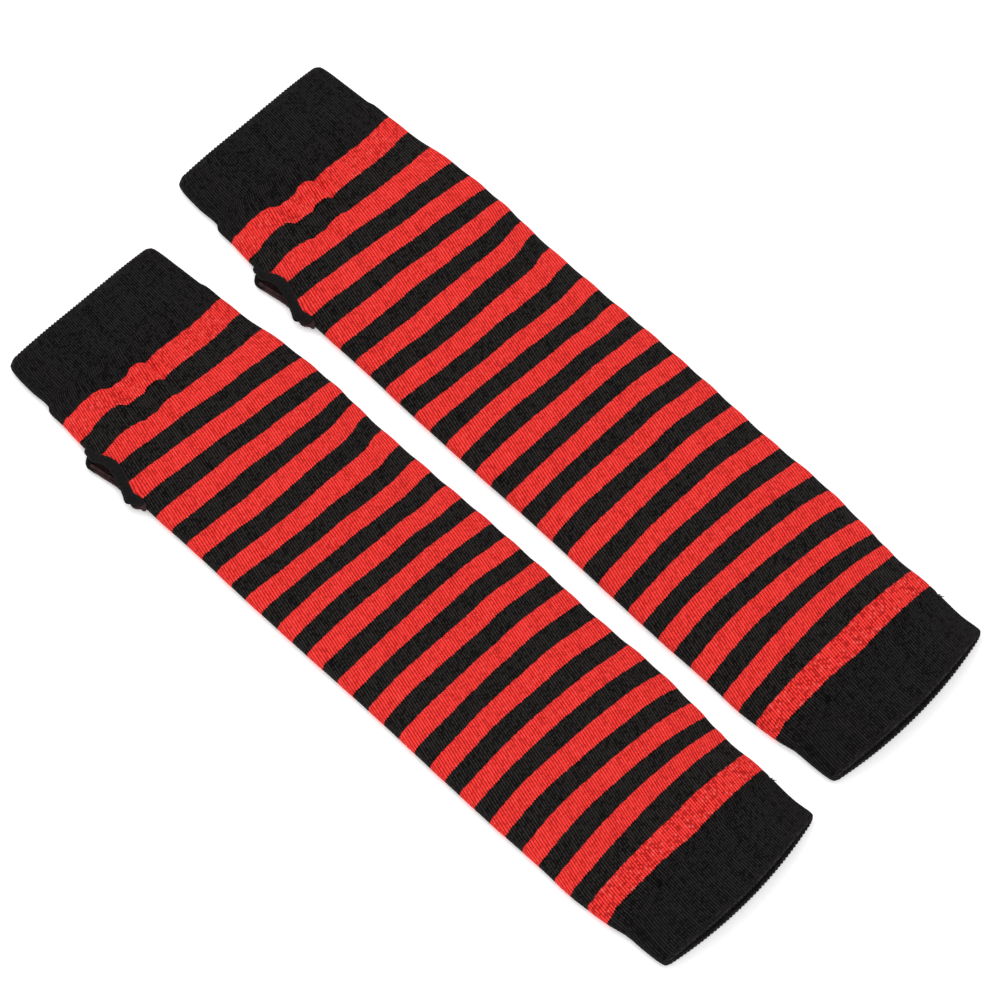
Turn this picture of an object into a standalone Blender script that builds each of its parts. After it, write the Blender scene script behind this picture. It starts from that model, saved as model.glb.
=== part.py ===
"""A pair of striped knitted arm warmers, laid flat side by side.

Each warmer is a flattened tube that lies along X. Its hand end is at -X, its wider arm end is at +X,
and the fold that holds the thumb hole faces -Y. Two equal warmers lie one behind the other. Each has
a striped tube, a double-knit cuff at either end, and an overcast edging round its thumb hole.

A place on the cloth is given by its course v, counted in stripes from the first striped course, and by
its distance a round the tube, which starts at the thumb-side fold, runs under to the far fold and
comes back over the top.
"""
import math
from collections import namedtuple

import bpy
from mathutils import Vector

# Driving dimensions, in metres
FOLD_RADIUS = 0.0025
TUBE_WALL = 0.0012
CUFF_WALL = 0.0014
CUFF_EDGE_BEVEL = 0.0004
SEAM_GAP = 0.0003
STRIPE_HEIGHT = 0.0081
BOW_REACH = 0.040

# Where each warmer lies, as the place of its own table's origin
REAR_PLACE = (-0.0043, 0.0508)
FRONT_PLACE = (0.0057, -0.0480)

# Courses where one piece ends and the next begins
HAND_MOUTH = -4.2
HAND_SEAM = -1.3
ARM_SEAM = 35.7
ARM_MOUTH = 39.0
SLIT_START = 1.60
SLIT_END = 5.08

# One row for each section across the warmer, in metres:
# v course, x middle of the course, near and far the y of the two folds, crown height of the top,
# skew lean of the course towards +X for each metre of y, bow how far its ends lie ahead of its middle
Section = namedtuple("Section", "v x near far crown skew bow")
SECTIONS = (
    Section(-4.20, -0.1773, -0.0352, 0.0352, 0.0076, 0.034, -0.0008),
    Section(-4.00, -0.1757, -0.0368, 0.0368, 0.0076, 0.034, -0.0006),
    Section(-2.60, -0.1640, -0.0378, 0.0380, 0.0076, 0.036, -0.0005),
    Section(-1.30, -0.1532, -0.0376, 0.0388, 0.0076, 0.040, -0.0006),
    Section(0.00, -0.1413, -0.0395, 0.0399, 0.0078, 0.045, -0.0011),
    Section(1.00, -0.1317, -0.0405, 0.0405, 0.0078, 0.055, -0.0010),
    Section(3.00, -0.1144, -0.0421, 0.0430, 0.0077, 0.104, -0.0003),
    Section(6.00, -0.0902, -0.0426, 0.0438, 0.0076, 0.076, -0.0002),
    Section(9.00, -0.0656, -0.0429, 0.0429, 0.0077, 0.037, -0.0018),
    Section(12.00, -0.0419, -0.0436, 0.0430, 0.0079, 0.057, -0.0008),
    Section(16.00, -0.0116, -0.0440, 0.0436, 0.0083, 0.029, 0.0001),
    Section(20.00, 0.0192, -0.0443, 0.0436, 0.0091, 0.008, 0.0004),
    Section(24.00, 0.0516, -0.0451, 0.0431, 0.0098, -0.002, 0.0008),
    Section(28.00, 0.0839, -0.0458, 0.0434, 0.0101, 0.022, 0.0012),
    Section(31.00, 0.1084, -0.0459, 0.0417, 0.0099, 0.016, 0.0017),
    Section(33.00, 0.1239, -0.0464, 0.0409, 0.0097, -0.056, 0.0006),
    Section(34.00, 0.1330, -0.0459, 0.0410, 0.0096, -0.041, 0.0001),
    Section(35.00, 0.1434, -0.0450, 0.0411, 0.0094, -0.030, -0.0011),
    Section(35.70, 0.1486, -0.0435, 0.0410, 0.0093, -0.080, -0.0005),
    Section(37.40, 0.1619, -0.0432, 0.0406, 0.0094, -0.070, -0.0015),
    Section(38.80, 0.1731, -0.0424, 0.0413, 0.0096, -0.060, -0.0038),
    Section(39.00, 0.1746, -0.0412, 0.0404, 0.0096, -0.058, -0.0043),
)

# One row for each course along the thumb hole, in metres: upper and lower how far each lip is drawn
# back from the fold line, spread how far the lower lip leans out, flare how far the upper lip leans
# out, lift how far the upper lip rises
Lip = namedtuple("Lip", "v upper lower spread flare lift")
LIPS = (
    Lip(1.60, 0.0000, 0.0000, 0.0000, 0.0000, 0.0000),
    Lip(1.85, 0.0005, 0.0002, 0.0030, 0.0020, 0.0003),
    Lip(2.15, 0.0013, 0.0005, 0.0028, 0.0012, 0.0006),
    Lip(2.50, 0.0019, 0.0006, 0.0020, 0.0004, 0.0007),
    Lip(2.95, 0.0020, 0.0007, 0.0013, 0.0000, 0.0007),
    Lip(3.40, 0.0016, 0.0007, 0.0006, 0.0006, 0.0006),
    Lip(3.75, 0.0011, 0.0007, 0.0002, 0.0015, 0.0005),
    Lip(4.15, 0.0008, 0.0006, 0.0003, 0.0028, 0.0005),
    Lip(4.57, 0.0006, 0.0005, 0.0010, 0.0042, 0.0004),
    Lip(4.85, 0.0004, 0.0003, 0.0019, 0.0018, 0.0002),
    Lip(5.08, 0.0000, 0.0000, 0.0000, 0.0000, 0.0000),
)
LIP_LIFT_REACH = 0.006
LIP_BAND = 0.0012

# One row for each lengthwise crease of the top, in metres: y and width across, start, peak and end
# courses, rise of the ridge (a trough is negative), shift of the courses on its thumb side
Crease = namedtuple("Crease", "y width start peak end rise shift")
CREASES = (
    Crease(-0.0035, 0.0018, -2.2, 0.0, 4.4, 0.0012, -0.0020),
    Crease(-0.0205, 0.0018, -2.0, 0.6, 3.0, 0.0011, -0.0018),
    Crease(-0.0335, 0.0035, -1.6, 1.3, 3.6, 0.0003, 0.0021),
    Crease(0.0130, 0.0040, -2.2, -0.6, 3.0, -0.0006, 0.0),
    Crease(0.0265, 0.0040, -2.4, -0.8, 5.0, 0.0006, 0.0),
    Crease(-0.0120, 0.0040, -2.2, 0.4, 5.5, -0.0007, 0.0),
    Crease(-0.0300, 0.0040, 0.8, 3.2, 8.0, 0.0007, 0.0),
    Crease(0.0180, 0.0060, 7.0, 12.0, 19.0, 0.0005, 0.0),
    Crease(-0.0170, 0.0060, 12.0, 18.0, 25.0, 0.0006, 0.0),
    Crease(0.0060, 0.0060, 17.0, 23.0, 30.0, -0.0006, 0.0),
    Crease(0.0260, 0.0050, 27.0, 33.0, 37.5, 0.0007, 0.0),
    Crease(0.0120, 0.0040, 31.5, 35.0, 38.0, -0.0006, 0.0),
    Crease(-0.0050, 0.0045, 32.0, 35.2, 38.0, 0.0007, 0.0),
    Crease(-0.0230, 0.0045, 31.0, 35.0, 38.0, -0.0007, 0.0),
)

# How finely the cloth is divided
LOWER_FOLD_STEPS = 3
UNDERSIDE_STEPS = 5
FAR_FOLD_STEPS = 6
TOP_STEPS = 13
CUFF_STEPS = 5
HAND_END_COURSES = (-0.6, 0.1, 0.7, 1.2, 1.6, 1.85, 2.15, 2.5, 2.95, 3.4, 3.75, 4.15, 4.57, 4.85, 5.08,
                    6.0, 7.0, 8.3)
MIDDLE_STEPS = 14
CLOSE_LINES_WIDTH = 0.003
CLOSE_LINES_SPAN = 0.041
LINE_SPACING = 0.03
MOUTH_INSET = 0.2
SEAM_INSET = 0.65 * SEAM_GAP / STRIPE_HEIGHT
ARM_END_COURSES = (31.0, 32.0, 33.0, 34.0, 35.0)

# Overcast edging of the thumb hole, in metres
EDGING_STEPS = 64
EDGING_MARGIN = (0.0003, 0.0017)
EDGING_HALF_WIDTH = (0.0008, 0.0021)
EDGING_THICKNESS = (0.0010, 0.0015)
EDGING_LUMPS = 6
EDGING_LUMP_SHARE = 0.14
EDGING_GAP = 0.0004
EDGING_PROFILE = ((-1.0, 0.0), (-0.9, 0.6), (-0.4, 1.0), (0.4, 1.0), (0.9, 0.6), (1.0, 0.0))


def remove_scene_objects():
    """Empty the scene before the model is built."""
    for item in list(bpy.data.objects):
        bpy.data.objects.remove(item, do_unlink=True)


def table_at(rows, v):
    """Read a table at course v by a cubic through its rows, column by column."""
    v = min(max(v, rows[0].v), rows[-1].v)
    index = max(i for i in range(len(rows) - 1) if rows[i].v <= v)
    start, end = rows[index], rows[index + 1]
    before = rows[max(index - 1, 0)]
    after = rows[min(index + 2, len(rows) - 1)]
    span = end.v - start.v
    u = (v - start.v) / span
    values = []
    for p0, p1, p2, p3 in zip(before, start, end, after):
        slope_1 = span * (p2 - p0) / (end.v - before.v)
        slope_2 = span * (p3 - p1) / (after.v - start.v)
        values.append((1 + 2 * u) * (1 - u) ** 2 * p1 + u * (1 - u) ** 2 * slope_1
                      + u * u * (3 - 2 * u) * p2 + u * u * (u - 1) * slope_2)
    return type(start)(*values)


def lip_at(v):
    """Lips of the thumb hole at course v, all zero where the fold is whole."""
    if v <= SLIT_START or v >= SLIT_END:
        return Lip(v, 0.0, 0.0, 0.0, 0.0, 0.0)
    return table_at(LIPS, v)


def ring_lengths(section):
    """Lengths of the five stretches round a section, and the slope where the top meets the folds."""
    half = (section.far - section.near) / 2 - FOLD_RADIUS
    slope = math.atan(3 * (section.crown - 2 * FOLD_RADIUS) / half)
    top_half = half + FOLD_RADIUS * math.sin(slope)
    quarter = FOLD_RADIUS * math.pi / 2
    lengths = (quarter, 2 * half, FOLD_RADIUS * (math.pi - slope), 2 * top_half,
               quarter - FOLD_RADIUS * slope)
    return lengths, slope, half, top_half


def ring_total(v):
    """Distance all round the tube at course v."""
    return sum(ring_lengths(table_at(SECTIONS, v))[0])


def ring_point(section, lip, a):
    """The y and z of the outer face at distance a round the section."""
    (lower, under, far_fold, top, upper), slope, half, top_half = ring_lengths(section)
    middle = (section.near + section.far) / 2
    radius = FOLD_RADIUS
    if a <= lower:
        angle = a / radius
        reach = radius + lip.spread
        return middle - half - reach * math.cos(angle), radius * (1 - math.sin(angle))
    a -= lower
    if a <= under:
        return middle - half + a, 0.0
    a -= under
    if a <= far_fold:
        angle = a / radius
        return middle + half + radius * math.sin(angle), radius * (1 - math.cos(angle))
    a -= far_fold
    if a <= top:
        q = 1 - 2 * a / top
        edge = radius * (1 + math.cos(slope))
        return middle + q * top_half, edge + (section.crown - edge) * (1 - abs(q) ** 3)
    a -= top
    angle = slope + a / radius
    return middle - half - radius * math.sin(angle), radius * (1 + math.cos(angle))


def crease_window(crease, v):
    """Share of a crease at course v, one at its peak and nothing at both ends."""
    reach = crease.peak - crease.start if v < crease.peak else crease.end - crease.peak
    away = min(abs(v - crease.peak) / reach, 1.0)
    return 0.5 + 0.5 * math.cos(math.pi * away)


def surface(v, a):
    """Point of the cloth's outer face at course v and distance a round the tube."""
    section = table_at(SECTIONS, v)
    lip = lip_at(v)
    y, z = ring_point(section, lip, a)
    total = sum(ring_lengths(section)[0])
    x = section.x + section.skew * y + section.bow * (y / BOW_REACH) ** 2
    top_share = max(0.0, z - FOLD_RADIUS) / (section.crown - FOLD_RADIUS)
    for crease in CREASES:
        share = crease_window(crease, v)
        away = (y - crease.y) / crease.width
        x += share * crease.shift / (1 + math.exp(min(away * 2, 60.0)))
        z += share * crease.rise * math.exp(-away * away) * top_share ** 2
    if a > total / 2:
        from_lip = total - lip.upper - a
        near_lip = max(0.0, 1 - from_lip / LIP_LIFT_REACH) ** 2
        y -= lip.flare * near_lip
        z += lip.lift * near_lip
    return Vector((x, y, z))


def surface_normal(v, a):
    """Outward direction of the cloth at course v and distance a."""
    step = 0.0001
    along = surface(v + step / STRIPE_HEIGHT, a) - surface(v - step / STRIPE_HEIGHT, a)
    around = surface(v, a + step) - surface(v, a - step)
    return around.cross(along).normalized()


def top_lines():
    """Places across the top, +1 at the far fold and -1 at the near one, closer at sharp creases."""
    lines = [1 - 2 * i / TOP_STEPS for i in range(1, TOP_STEPS)]
    sharp = [crease for crease in CREASES if crease.shift and crease.width < CLOSE_LINES_WIDTH]
    for crease in sharp:
        near_lines = [(crease.y + k * crease.width) / CLOSE_LINES_SPAN for k in (-1, 0, 1)]
        lines = [q for q in lines if all(abs(q - n) > LINE_SPACING for n in near_lines)] + near_lines
    return sorted(lines, reverse=True)


def ring_stations(v):
    """Distances of the mesh's columns round the tube at course v, from lip to lip or seam to seam."""
    lower, under, far_fold, top, upper = ring_lengths(table_at(SECTIONS, v))[0]
    lip = lip_at(v)
    stations = [lip.lower + (lower - lip.lower) * i / LOWER_FOLD_STEPS for i in range(LOWER_FOLD_STEPS)]
    stations += [lower + under * i / UNDERSIDE_STEPS for i in range(UNDERSIDE_STEPS)]
    start = lower + under
    stations += [start + far_fold * i / FAR_FOLD_STEPS for i in range(FAR_FOLD_STEPS)]
    start += far_fold
    stations.append(start)
    stations += [start + top * (1 - q) / 2 for q in top_lines()]
    start += top
    end = start + upper - lip.upper
    first = min(start, end - LIP_BAND)
    stations += [first + (end - first) * i / LOWER_FOLD_STEPS for i in range(LOWER_FOLD_STEPS + 1)]
    return stations


def cloth_mesh(name, courses):
    """Open sheet through the courses, closed along the thumb-side fold except at the thumb hole."""
    points, rows = [], []
    for v in courses:
        stations = ring_stations(v)
        whole = not SLIT_START < v < SLIT_END
        first = len(points)
        count = len(stations) - 1 if whole else len(stations)
        points += [surface(v, a) for a in stations[:count]]
        rows.append([first + i for i in range(count)] + ([first] if whole else []))
    faces = []
    for row, following in zip(rows, rows[1:]):
        for i in range(len(row) - 1):
            faces.append((row[i], row[i + 1], following[i + 1], following[i]))
    mesh = bpy.data.meshes.new(name)
    mesh.from_pydata(points, [], faces)
    mesh.update()
    return mesh


def even_courses(start, end, steps):
    """Courses spread evenly from start to end."""
    return [start + (end - start) * i / steps for i in range(steps + 1)]


def tube_courses():
    """Courses of the striped tube, closer near the cuffs and the thumb hole."""
    middle = even_courses(HAND_END_COURSES[-1], ARM_END_COURSES[0], MIDDLE_STEPS)[1:-1]
    return ([HAND_SEAM + SEAM_INSET] + list(HAND_END_COURSES) + middle + list(ARM_END_COURSES)
            + [ARM_SEAM - SEAM_INSET])


def cuff_courses(mouth, seam):
    """Courses of a cuff, with two close ones where its corners round in at the mouth."""
    towards_mouth = math.copysign(1.0, mouth - seam)
    inner = even_courses(seam + towards_mouth * SEAM_INSET, mouth - towards_mouth * MOUTH_INSET,
                         CUFF_STEPS - 1)
    return sorted(inner + [mouth])


def between(pair, share):
    """Value a share of the way from the first of a pair to the second."""
    return pair[0] + (pair[1] - pair[0]) * share


def edging_path():
    """Places (v, a, share) round the thumb hole, beside its lips and in a half circle past each end.

    The share is 0 on the lower lip and 1 on the upper lip.
    """
    places = []
    half = (SLIT_END - SLIT_START) / 2 * STRIPE_HEIGHT
    for i in range(EDGING_STEPS):
        angle = 2 * math.pi * i / EDGING_STEPS
        share = 0.5 + 0.5 * math.sin(angle)
        margin = between(EDGING_MARGIN, share)
        along = -(half + margin) * math.cos(angle)
        past_end = min(max(0.0, abs(along) - half) / margin, 1.0)
        beside = margin * math.sqrt(1 - past_end ** 2)
        v = (SLIT_START + SLIT_END) / 2 + along / STRIPE_HEIGHT
        lip = lip_at(v)
        a = ring_total(v) - lip.upper - beside if math.sin(angle) >= 0 else lip.lower + beside
        places.append((v, a, share))
    return places


def edging_mesh(name):
    """Closed band that lies on the cloth round the thumb hole, moved out from the cloth's own points."""
    path = edging_path()
    count = len(path)
    centres = [surface(v, a) for v, a, share in path]
    points = []
    for i, (v, a, share) in enumerate(path):
        tangent = (centres[(i + 1) % count] - centres[i - 1]).normalized()
        outward = surface_normal(v, a)
        outward = (outward - tangent * outward.dot(tangent)).normalized()
        across = tangent.cross(outward)
        lump = 1 + EDGING_LUMP_SHARE * math.sin(2 * math.pi * EDGING_LUMPS * i / count) * share
        half_width = between(EDGING_HALF_WIDTH, share ** 2) * lump
        thickness = between(EDGING_THICKNESS, share) * lump
        for side, rise in EDGING_PROFILE:
            points.append(centres[i] + across * (side * half_width)
                          + outward * (EDGING_GAP + rise * thickness))
    sides = len(EDGING_PROFILE)
    faces = []
    for i in range(count):
        here, there = i * sides, (i + 1) % count * sides
        for k in range(sides):
            following = (k + 1) % sides
            faces.append((here + k, here + following, there + following, there + k))
    mesh = bpy.data.meshes.new(name)
    mesh.from_pydata(points, [], faces)
    mesh.update()
    return mesh


def make_material(name, colour, roughness):
    """Plain dull material for knitted yarn."""
    material = bpy.data.materials.new(name)
    material.use_nodes = True
    shader = material.node_tree.nodes["Principled BSDF"]
    shader.inputs["Base Color"].default_value = (*colour, 1.0)
    shader.inputs["Roughness"].default_value = roughness
    shader.inputs["Metallic"].default_value = 0.0
    material.diffuse_color = (*colour, 1.0)
    return material


def add_piece(collection, name, mesh, place, wall=None, bevel=None):
    """Put a mesh in the collection at its warmer's place, with a wall inward from its face."""
    piece = bpy.data.objects.new(name, mesh)
    collection.objects.link(piece)
    piece.location = (place[0], place[1], 0.0)
    if wall:
        solidify = piece.modifiers.new("Wall", "SOLIDIFY")
        solidify.thickness = wall
        solidify.offset = -1.0
        solidify.use_rim = True
        solidify.use_even_offset = True
    if bevel:
        rounding = piece.modifiers.new("Rounded mouth", "BEVEL")
        rounding.width = bevel
        rounding.segments = 1
        rounding.limit_method = "ANGLE"
        rounding.angle_limit = math.radians(60)
    return piece


def main():
    remove_scene_objects()
    collection = bpy.data.collections.new("arm_warmers")
    bpy.context.scene.collection.children.link(collection)
    striped = make_material("striped_knit", (0.80, 0.030, 0.025), 0.9)
    black = make_material("black_knit", (0.012, 0.012, 0.012), 0.9)
    edging = make_material("black_overcast_yarn", (0.010, 0.010, 0.010), 0.85)

    meshes = {
        "tube": cloth_mesh("tube", tube_courses()),
        "hand_cuff": cloth_mesh("hand_cuff", cuff_courses(HAND_MOUTH, HAND_SEAM)),
        "arm_cuff": cloth_mesh("arm_cuff", cuff_courses(ARM_MOUTH, ARM_SEAM)),
        "thumb_edging": edging_mesh("thumb_edging"),
    }
    looks = {"tube": striped, "hand_cuff": black, "arm_cuff": black, "thumb_edging": edging}
    walls = {"tube": TUBE_WALL, "hand_cuff": CUFF_WALL, "arm_cuff": CUFF_WALL, "thumb_edging": None}
    bevels = {"hand_cuff": CUFF_EDGE_BEVEL, "arm_cuff": CUFF_EDGE_BEVEL}
    for part, mesh in meshes.items():
        mesh.materials.append(looks[part])
        mesh.shade_smooth()
        mesh.set_sharp_from_angle(angle=math.radians(50))
        for side, place in (("rear", REAR_PLACE), ("front", FRONT_PLACE)):
            add_piece(collection, f"{side}_{part}", mesh, place, walls[part], bevels.get(part))


main()
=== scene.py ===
"""Looks of a pair of striped knitted arm warmers, laid flat side by side on a white table.

Each warmer gets a fine shell on the form of its solids: a striped tube, two ribbed cuffs and the
overcast edging of its thumb hole. A place on the cloth is its course v, in stripes, and its distance a
round the tube, from the thumb-side fold, under to the far fold and back over the top.
"""
import math
from collections import namedtuple

import bpy
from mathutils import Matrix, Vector, noise


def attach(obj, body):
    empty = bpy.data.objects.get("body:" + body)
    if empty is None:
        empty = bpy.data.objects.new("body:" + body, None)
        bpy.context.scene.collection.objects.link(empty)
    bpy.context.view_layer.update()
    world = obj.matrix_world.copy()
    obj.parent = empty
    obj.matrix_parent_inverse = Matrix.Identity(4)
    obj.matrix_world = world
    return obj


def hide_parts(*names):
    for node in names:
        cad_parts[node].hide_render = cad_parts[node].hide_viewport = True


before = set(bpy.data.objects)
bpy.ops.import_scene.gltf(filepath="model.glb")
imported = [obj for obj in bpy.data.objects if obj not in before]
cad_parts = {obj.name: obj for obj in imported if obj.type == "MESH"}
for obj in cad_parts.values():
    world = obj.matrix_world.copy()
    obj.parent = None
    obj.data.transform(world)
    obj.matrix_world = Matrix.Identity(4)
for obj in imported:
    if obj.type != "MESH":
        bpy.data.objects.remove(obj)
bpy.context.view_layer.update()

# Sizes shared with the solids, in metres
FOLD_RADIUS = 0.0025
TUBE_WALL = 0.0011
CUFF_WALL = 0.0023
STRIPE_HEIGHT = 0.0081
BOW_REACH = 0.040
REAR_PLACE = Vector((-0.0043, 0.0508, 0.0))
FRONT_PLACE = Vector((0.0057, -0.0480, 0.0))
HAND_MOUTH, HAND_SEAM, ARM_SEAM, ARM_MOUTH = -4.2, -1.3, 35.7, 39.0
SLIT_START, SLIT_END = 1.60, 5.08
STRIPES = 35

# One row for each section across the warmer: v course, x middle of the course, near and far the y of
# the two folds, crown height of the top, skew lean of the course, bow lead of its ends
Section = namedtuple("Section", "v x near far crown skew bow")
SECTIONS = (
    Section(-4.20, -0.1773, -0.0338, 0.0352, 0.0076, 0.034, -0.0008),
    Section(-4.00, -0.1757, -0.0363, 0.0368, 0.0076, 0.034, -0.0006),
    Section(-2.60, -0.1640, -0.0378, 0.0380, 0.0076, 0.036, -0.0005),
    Section(-1.30, -0.1532, -0.0376, 0.0388, 0.0076, 0.040, -0.0006),
    Section(-0.95, -0.1500, -0.0391, 0.0396, 0.0077, 0.041, -0.0008),
    Section(0.00, -0.1413, -0.0395, 0.0399, 0.0078, 0.045, -0.0011),
    Section(1.00, -0.1317, -0.0405, 0.0405, 0.0078, 0.055, -0.0010),
    Section(3.00, -0.1144, -0.0421, 0.0430, 0.0077, 0.104, -0.0003),
    Section(6.00, -0.0902, -0.0426, 0.0438, 0.0076, 0.076, -0.0002),
    Section(9.00, -0.0656, -0.0429, 0.0429, 0.0077, 0.037, -0.0018),
    Section(12.00, -0.0419, -0.0436, 0.0430, 0.0079, 0.057, -0.0008),
    Section(16.00, -0.0116, -0.0440, 0.0436, 0.0083, 0.029, 0.0001),
    Section(20.00, 0.0192, -0.0443, 0.0436, 0.0091, 0.008, 0.0004),
    Section(24.00, 0.0516, -0.0451, 0.0431, 0.0098, -0.002, 0.0008),
    Section(28.00, 0.0839, -0.0458, 0.0434, 0.0101, 0.022, 0.0012),
    Section(31.00, 0.1084, -0.0459, 0.0417, 0.0099, 0.016, 0.0017),
    Section(33.00, 0.1239, -0.0464, 0.0409, 0.0097, -0.056, 0.0006),
    Section(34.00, 0.1330, -0.0459, 0.0410, 0.0096, -0.041, 0.0001),
    Section(35.00, 0.1434, -0.0450, 0.0411, 0.0094, -0.030, -0.0011),
    Section(35.70, 0.1486, -0.0435, 0.0410, 0.0093, -0.080, -0.0005),
    Section(37.40, 0.1619, -0.0432, 0.0406, 0.0094, -0.070, -0.0015),
    Section(38.80, 0.1731, -0.0424, 0.0413, 0.0096, -0.060, -0.0038),
    Section(39.00, 0.1746, -0.0412, 0.0404, 0.0096, -0.058, -0.0043),
)

# One row for each course along the thumb hole: upper and lower how far each lip is drawn
# back from the fold line, spread how far the lower lip leans out, flare how far the upper lip leans
# out, lift how far the upper lip rises
Lip = namedtuple("Lip", "v upper lower spread flare lift")
LIPS = (
    Lip(1.60, 0.0000, 0.0000, 0.0000, 0.0000, 0.0000),
    Lip(1.85, 0.0005, 0.0002, 0.0030, 0.0020, 0.0003),
    Lip(2.15, 0.0013, 0.0005, 0.0028, 0.0012, 0.0006),
    Lip(2.50, 0.0019, 0.0006, 0.0020, 0.0004, 0.0007),
    Lip(2.95, 0.0020, 0.0007, 0.0013, 0.0000, 0.0007),
    Lip(3.40, 0.0016, 0.0007, 0.0006, 0.0006, 0.0006),
    Lip(3.75, 0.0011, 0.0007, 0.0002, 0.0015, 0.0005),
    Lip(4.15, 0.0008, 0.0006, 0.0003, 0.0028, 0.0005),
    Lip(4.57, 0.0006, 0.0005, 0.0010, 0.0042, 0.0004),
    Lip(4.85, 0.0004, 0.0003, 0.0019, 0.0018, 0.0002),
    Lip(5.08, 0.0000, 0.0000, 0.0000, 0.0000, 0.0000),
)
LIP_LIFT_REACH = 0.006

# One row for each lengthwise crease of the top: y and width across, start, peak and end courses, rise
# of the ridge (a trough is negative), shift of the courses on its thumb side, or on its far side where
# the width is negative
Crease = namedtuple("Crease", "y width start peak end rise shift")
CREASES = (
    Crease(-0.0035, 0.0018, -2.2, 0.0, 4.4, 0.0012, -0.0020),
    Crease(-0.0205, 0.0018, -2.0, 0.6, 3.0, 0.0011, -0.0026),
    Crease(-0.0335, 0.0035, -1.6, 1.3, 3.6, 0.0003, 0.0021),
    Crease(-0.0005, 0.0014, -1.6, 0.5, 2.6, -0.0017, 0.0),
    Crease(-0.0178, 0.0016, -1.4, 1.0, 3.4, -0.0015, 0.0),
    Crease(-0.0092, 0.0011, -1.8, 0.4, 3.0, -0.0012, 0.0013),
    Crease(-0.0222, 0.0010, 1.4, 2.3, 3.3, -0.0012, 0.0),
    Crease(-0.0112, 0.0012, 1.3, 2.3, 3.4, -0.0010, 0.0010),
    Crease(0.0310, -0.0045, -2.2, 1.2, 6.0, 0.0000, -0.0017),
    Crease(0.0345, -0.0042, 4.0, 10.0, 19.0, 0.0000, -0.0021),
    Crease(-0.0405, 0.0020, 33.4, 35.1, 37.0, 0.0000, 0.0018),
    Crease(0.0130, 0.0040, -2.2, -0.6, 3.0, -0.0006, 0.0),
    Crease(0.0265, 0.0040, -2.4, -0.8, 5.0, 0.0006, 0.0),
    Crease(-0.0120, 0.0040, -2.2, 0.4, 5.5, -0.0007, 0.0),
    Crease(-0.0300, 0.0040, 0.8, 3.2, 8.0, 0.0007, 0.0),
    Crease(0.0180, 0.0060, 7.0, 12.0, 19.0, 0.0005, 0.0),
    Crease(-0.0170, 0.0060, 12.0, 18.0, 25.0, 0.0006, 0.0),
    Crease(0.0060, 0.0060, 17.0, 23.0, 30.0, -0.0006, 0.0),
    Crease(0.0260, 0.0050, 27.0, 33.0, 37.5, 0.0007, 0.0),
    Crease(0.0120, 0.0040, 31.5, 35.0, 38.0, -0.0006, 0.0),
    Crease(-0.0050, 0.0045, 32.0, 35.2, 38.0, 0.0007, 0.0),
    Crease(-0.0230, 0.0045, 31.0, 35.0, 38.0, -0.0007, 0.0),
)

# Gathers beside each seam: course, how far they reach into the tube and the cuff in stripes, height in
# metres, and the numbers of waves round the ring that are added up. Below them, the dip of the arm seam
# in metres and its reach in stripes, the waves' phase and twist, and the least share that counts
Gather = namedtuple("Gather", "seam into_tube into_cuff height waves")
GATHERS = (
    Gather(HAND_SEAM, 1.5, 0.30, 0.00030, (19, 27, 38, 49)),
    Gather(ARM_SEAM, 0.9, 0.45, 0.00022, (31, 43, 58, 71)),
)
SEAM_DIP = 0.0003
SEAM_DIP_REACH = 0.10
GATHER_PHASE = 0.37
GATHER_TWIST = 0.4
LEAST_GATHER_SHARE = 0.01

# Swell of each stripe, and slow swells of the whole cloth. Both start where the cloth is free of the
# table, above a share of the fold's radius
STRIPE_SWELL = 0.00018
SLOW_SWELL = 0.00035
SLOW_SWELL_SCALE = Vector((38.0, 60.8, 40.0))
SLOW_SWELL_START = Vector((0.0, 0.0, 3.7))
FREE_FROM = 0.4

# How steeply the courses shift across a crease, and the cut-off beyond which the shift is nothing
CREASE_STEEPNESS = 2.0
CREASE_FAR_SIDE = 60.0

# Knit: wales all round, courses in a stripe, the wales' drift round the tube and the cuffs for each
# stripe, the courses that a streak lasts, and how far a stripe's edge wavers. Then the width of the turned
# edge in stripes, a plain band painted lighter as a highlight of the rolled mouth, and the overcast yarn's
# reach on the cloth, in wales and in stripes past the thumb hole
WALES = 168
COURSES = 11
WALE_DRIFT = 1.9
CUFF_DRIFT = 0.9
STREAK_COURSES = 4.0
STRIPE_WAVER = 0.085
STRIPE_WAVER_SCALE = Vector((45.0, 60.0, 60.0))
TURNED_EDGE = 0.28
OVERCAST_WALES = 2.8
OVERCAST_PAST = 0.12

# Fineness of the shells: rows and columns, how far from the fold the columns are fitted to the lips, how
# far the rows stay from the ends of the thumb hole, as a share of a row, the step that measures the
# cloth's direction, and the angle from which an edge stays sharp
TUBE_ROWS_PER_STRIPE = 5
HAND_END_ROWS_PER_STRIPE = 10
HAND_END_COURSE = 5.7
CUFF_ROWS = 20
MOUTH_ROWS = 5
RING_STEPS = (10, 30, 14, 130, 10)
CUFF_RING_STEPS = (10, 200, 14, 200, 10)
LIP_FIT_REACH = 0.008
ROW_CLEARANCE = 0.4
NORMAL_STEP = 0.0002
SHARP_ANGLE = math.radians(55)

# Scallops of the turned edge at each mouth: how many all round, how deep, and their reach in stripes
SCALLOPS = 104
SCALLOP_DEPTH = 0.00022
SCALLOP_REACH = 0.09

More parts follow.
